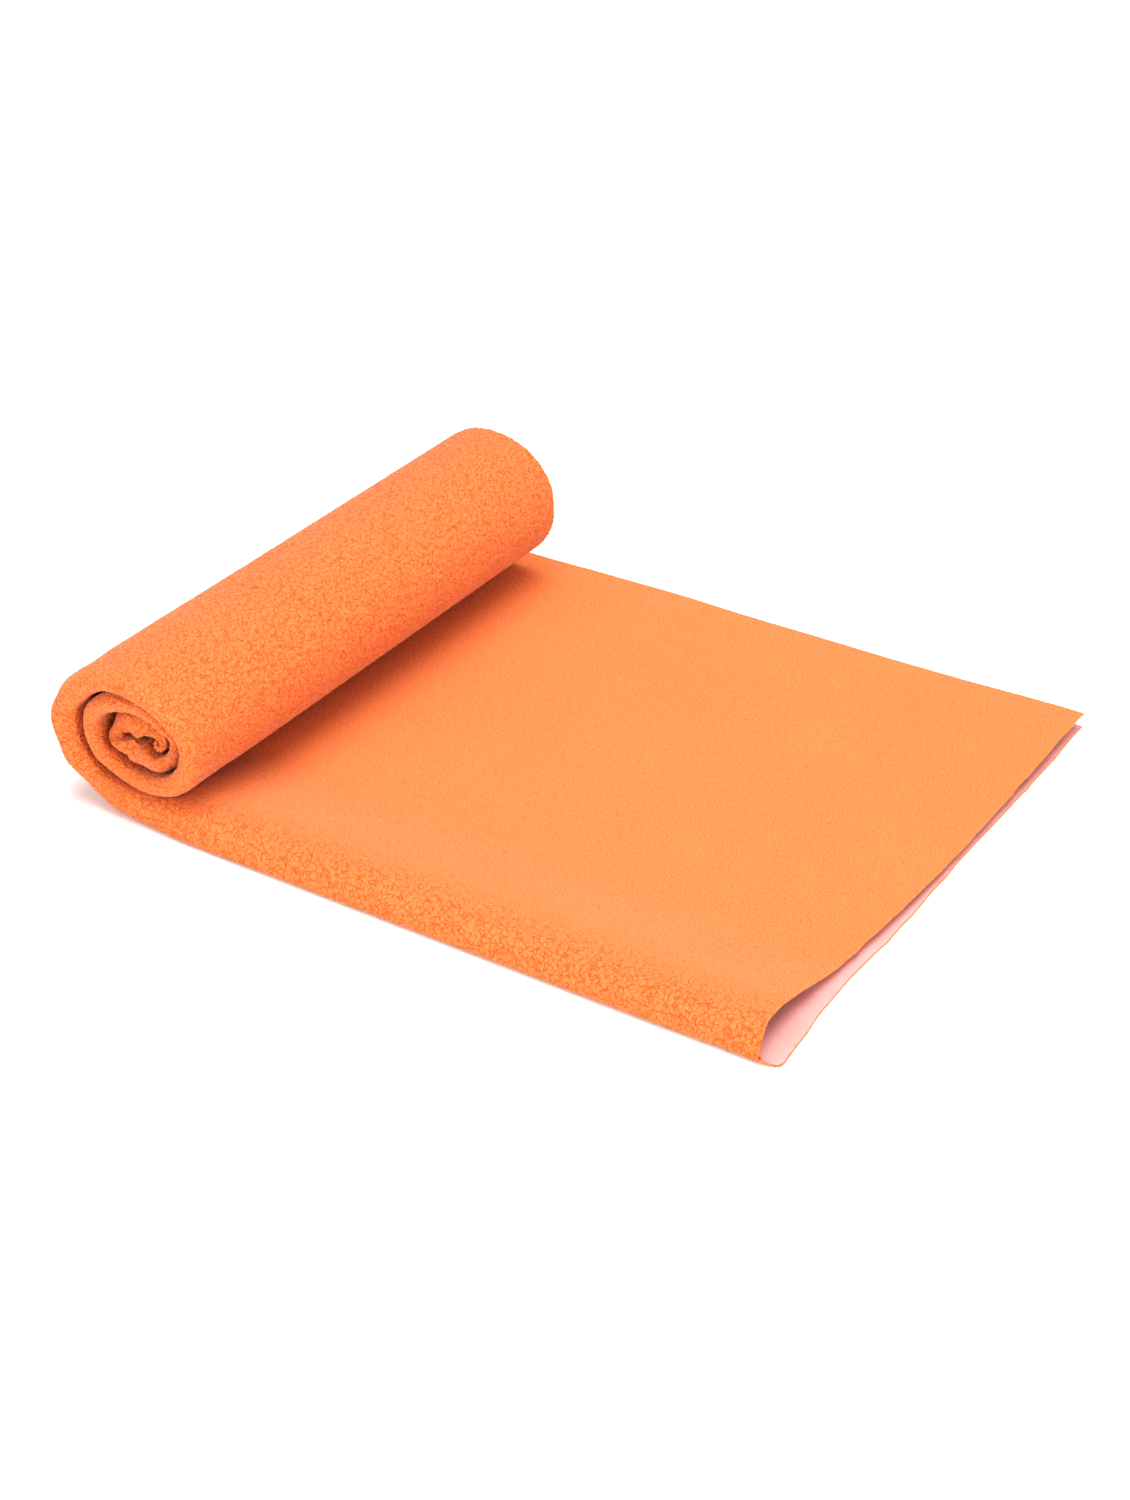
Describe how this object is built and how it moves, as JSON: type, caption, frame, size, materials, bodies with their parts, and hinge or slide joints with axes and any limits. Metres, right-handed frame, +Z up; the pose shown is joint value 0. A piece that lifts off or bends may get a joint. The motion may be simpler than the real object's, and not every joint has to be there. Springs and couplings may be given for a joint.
{
  "type": "drying towel",
  "caption": "Fleece drying towel backed with a thin waterproof film, folded in two lengthways with film inside and partly rolled up from one end.",
  "frame": {"origin": "middle of the whole towel's box, on the surface that the towel lies on", "axes": "+X along the towel to its free end, +Y across it from the fold to the open edges, +Z up"},
  "size_m": [0.4207, 0.35, 0.0849],
  "materials": {
    "fleece": "curly polar fleece nap",
    "film": "smooth satin film"
  },
  "bodies": {
    "flat_part": {"fleece_flat": "fleece", "film_flat": "film"},
    "roll_01": {"fleece_roll_01": "fleece", "film_roll_01": "film"},
    "roll_02": {"fleece_roll_02": "fleece", "film_roll_02": "film"},
    "roll_03": {"fleece_roll_03": "fleece", "film_roll_03": "film"},
    "roll_04": {"fleece_roll_04": "fleece", "film_roll_04": "film"},
    "roll_05": {"fleece_roll_05": "fleece", "film_roll_05": "film"},
    "roll_06": {"fleece_roll_06": "fleece", "film_roll_06": "film"},
    "roll_07": {"fleece_roll_07": "fleece", "film_roll_07": "film"},
    "roll_08": {"fleece_roll_08": "fleece", "film_roll_08": "film"},
    "roll_09": {"fleece_roll_09": "fleece", "film_roll_09": "film"},
    "roll_10": {"fleece_roll_10": "fleece", "film_roll_10": "film"},
    "roll_11": {"fleece_roll_11": "fleece", "film_roll_11": "film"},
    "roll_12": {"fleece_roll_12": "fleece", "film_roll_12": "film"},
    "roll_13": {"fleece_roll_13": "fleece", "film_roll_13": "film"},
    "roll_14": {"fleece_roll_14": "fleece", "film_roll_14": "film"},
    "roll_15": {"fleece_roll_15": "fleece", "film_roll_15": "film"},
    "roll_16": {"fleece_roll_16": "fleece", "film_roll_16": "film"},
    "roll_17": {"fleece_roll_17": "fleece", "film_roll_17": "film"},
    "roll_18": {"fleece_roll_18": "fleece", "film_roll_18": "film"},
    "roll_19": {"fleece_roll_19": "fleece", "film_roll_19": "film"},
    "roll_20": {"fleece_roll_20": "fleece", "film_roll_20": "film"},
    "roll_21": {"fleece_roll_21": "fleece", "film_roll_21": "film"},
    "roll_22": {"fleece_roll_22": "fleece", "film_roll_22": "film"},
    "roll_23": {"fleece_roll_23": "fleece", "film_roll_23": "film"},
    "roll_24": {"fleece_roll_24": "fleece", "film_roll_24": "film"},
    "roll_25": {"fleece_roll_25": "fleece", "film_roll_25": "film"},
    "roll_26": {"fleece_roll_26": "fleece", "film_roll_26": "film"},
    "roll_27": {"fleece_roll_27": "fleece", "film_roll_27": "film"},
    "roll_28": {"fleece_roll_28": "fleece", "film_roll_28": "film"}
  },
  "joints": [
    {"name": "unroll", "type": "hinge", "parent": "flat_part", "child": "roll_01", "pos_m": [-0.16562, 0, 0], "axis": [0, -1, 0], "range_deg": [0, 16.31]},
    {"name": "unroll_02", "type": "hinge", "parent": "roll_01", "child": "roll_02", "pos_m": [-0.18897, 0, 0.00683], "axis": [0, -1, 0], "range_deg": [0, 29.99]},
    {"name": "unroll_03", "type": "hinge", "parent": "roll_02", "child": "roll_03", "pos_m": [-0.20563, 0, 0.02427], "axis": [0, -1, 0], "range_deg": [0, 32.22]},
    {"name": "unroll_04", "type": "hinge", "parent": "roll_03", "child": "roll_04", "pos_m": [-0.21038, 0, 0.04762], "axis": [0, -1, 0], "range_deg": [0, 34.6]},
    {"name": "unroll_05", "type": "hinge", "parent": "roll_04", "child": "roll_05", "pos_m": [-0.20112, 0, 0.06931], "axis": [0, -1, 0], "range_deg": [0, 32.69]},
    {"name": "unroll_06", "type": "hinge", "parent": "roll_05", "child": "roll_06", "pos_m": [-0.18175, 0, 0.08246], "axis": [0, -1, 0], "range_deg": [0, 28.06]},
    {"name": "unroll_07", "type": "hinge", "parent": "roll_06", "child": "roll_07", "pos_m": [-0.15866, 0, 0.08494], "axis": [0, -1, 0], "range_deg": [0, 25.59]},
    {"name": "unroll_08", "type": "hinge", "parent": "roll_07", "child": "roll_08", "pos_m": [-0.137, 0, 0.07729], "axis": [0, -1, 0], "range_deg": [0, 27.98]},
    {"name": "unroll_09", "type": "hinge", "parent": "roll_08", "child": "roll_09", "pos_m": [-0.12171, 0, 0.06064], "axis": [0, -1, 0], "range_deg": [0, 36.31]},
    {"name": "unroll_10", "type": "hinge", "parent": "roll_09", "child": "roll_10", "pos_m": [-0.11931, 0, 0.03867], "axis": [0, -1, 0], "range_deg": [0, 42.59]},
    {"name": "unroll_11", "type": "hinge", "parent": "roll_10", "child": "roll_11", "pos_m": [-0.13224, 0, 0.0211], "axis": [0, -1, 0], "range_deg": [0, 35.99]},
    {"name": "unroll_12", "type": "hinge", "parent": "roll_11", "child": "roll_12", "pos_m": [-0.15295, 0, 0.0145], "axis": [0, -1, 0], "range_deg": [0, 27.32]},
    {"name": "unroll_13", "type": "hinge", "parent": "roll_12", "child": "roll_13", "pos_m": [-0.17415, 0, 0.01811], "axis": [0, -1, 0], "range_deg": [0, 28.74]},
    {"name": "unroll_14", "type": "hinge", "parent": "roll_13", "child": "roll_14", "pos_m": [-0.19063, 0, 0.03117], "axis": [0, -1, 0], "range_deg": [0, 42.08]},
    {"name": "unroll_15", "type": "hinge", "parent": "roll_14", "child": "roll_15", "pos_m": [-0.194, 0, 0.05122], "axis": [0, -1, 0], "range_deg": [0, 48.94]},
    {"name": "unroll_16", "type": "hinge", "parent": "roll_15", "child": "roll_16", "pos_m": [-0.18122, 0, 0.06676], "axis": [0, -1, 0], "range_deg": [0, 35.88]},
    {"name": "unroll_17", "type": "hinge", "parent": "roll_16", "child": "roll_17", "pos_m": [-0.16187, 0, 0.07184], "axis": [0, -1, 0], "range_deg": [0, 28.47]},
    {"name": "unroll_18", "type": "hinge", "parent": "roll_17", "child": "roll_18", "pos_m": [-0.14283, 0, 0.06718], "axis": [0, -1, 0], "range_deg": [0, 35.9]},
    {"name": "unroll_19", "type": "hinge", "parent": "roll_18", "child": "roll_19", "pos_m": [-0.13064, 0, 0.05282], "axis": [0, -1, 0], "range_deg": [0, 56.76]},
    {"name": "unroll_20", "type": "hinge", "parent": "roll_19", "child": "roll_20", "pos_m": [-0.13573, 0, 0.03558], "axis": [0, -1, 0], "range_deg": [0, 49.34]},
    {"name": "unroll_21", "type": "hinge", "parent": "roll_20", "child": "roll_21", "pos_m": [-0.15218, 0, 0.02817], "axis": [0, -1, 0], "range_deg": [0, 31.1]},
    {"name": "unroll_22", "type": "hinge", "parent": "roll_21", "child": "roll_22", "pos_m": [-0.16967, 0, 0.03028], "axis": [0, -1, 0], "range_deg": [0, 37.15]},
    {"name": "unroll_23", "type": "hinge", "parent": "roll_22", "child": "roll_23", "pos_m": [-0.18161, 0, 0.04182], "axis": [0, -1, 0], "range_deg": [0, 66.57]},
    {"name": "unroll_24", "type": "hinge", "parent": "roll_23", "child": "roll_24", "pos_m": [-0.1762, 0, 0.05622], "axis": [0, -1, 0], "range_deg": [0, 52.11]},
    {"name": "unroll_25", "type": "hinge", "parent": "roll_24", "child": "roll_25", "pos_m": [-0.16148, 0, 0.06081], "axis": [0, -1, 0], "range_deg": [0, 30.79]},
    {"name": "unroll_26", "type": "hinge", "parent": "roll_25", "child": "roll_26", "pos_m": [-0.14735, 0, 0.05743], "axis": [0, -1, 0], "range_deg": [0, 46.41]},
    {"name": "unroll_27", "type": "hinge", "parent": "roll_26", "child": "roll_27", "pos_m": [-0.14102, 0, 0.04651], "axis": [0, -1, 0], "range_deg": [0, 79.32]},
    {"name": "unroll_28", "type": "hinge", "parent": "roll_27", "child": "roll_28", "pos_m": [-0.14959, 0, 0.03911], "axis": [0, -1, 0], "range_deg": [0, 36.68]}
  ],
  "couplings": [
    {"joint": "unroll_02", "follows": "unroll", "ratio": 1.8388},
    {"joint": "unroll_03", "follows": "unroll", "ratio": 1.9753},
    {"joint": "unroll_04", "follows": "unroll", "ratio": 2.1212},
    {"joint": "unroll_05", "follows": "unroll", "ratio": 2.0043},
    {"joint": "unroll_06", "follows": "unroll", "ratio": 1.72},
    {"joint": "unroll_07", "follows": "unroll", "ratio": 1.5691},
    {"joint": "unroll_08", "follows": "unroll", "ratio": 1.7155},
    {"joint": "unroll_09", "follows": "unroll", "ratio": 2.2264},
    {"joint": "unroll_10", "follows": "unroll", "ratio": 2.6109},
    {"joint": "unroll_11", "follows": "unroll", "ratio": 2.2066},
    {"joint": "unroll_12", "follows": "unroll", "ratio": 1.6752},
    {"joint": "unroll_13", "follows": "unroll", "ratio": 1.762},
    {"joint": "unroll_14", "follows": "unroll", "ratio": 2.5798},
    {"joint": "unroll_15", "follows": "unroll", "ratio": 3.0007},
    {"joint": "unroll_16", "follows": "unroll", "ratio": 2.1996},
    {"joint": "unroll_17", "follows": "unroll", "ratio": 1.7452},
    {"joint": "unroll_18", "follows": "unroll", "ratio": 2.2009},
    {"joint": "unroll_19", "follows": "unroll", "ratio": 3.4799},
    {"joint": "unroll_20", "follows": "unroll", "ratio": 3.0249},
    {"joint": "unroll_21", "follows": "unroll", "ratio": 1.907},
    {"joint": "unroll_22", "follows": "unroll", "ratio": 2.2775},
    {"joint": "unroll_23", "follows": "unroll", "ratio": 4.0812},
    {"joint": "unroll_24", "follows": "unroll", "ratio": 3.1946},
    {"joint": "unroll_25", "follows": "unroll", "ratio": 1.8874},
    {"joint": "unroll_26", "follows": "unroll", "ratio": 2.8455},
    {"joint": "unroll_27", "follows": "unroll", "ratio": 4.8632},
    {"joint": "unroll_28", "follows": "unroll", "ratio": 2.2489}
  ]
}
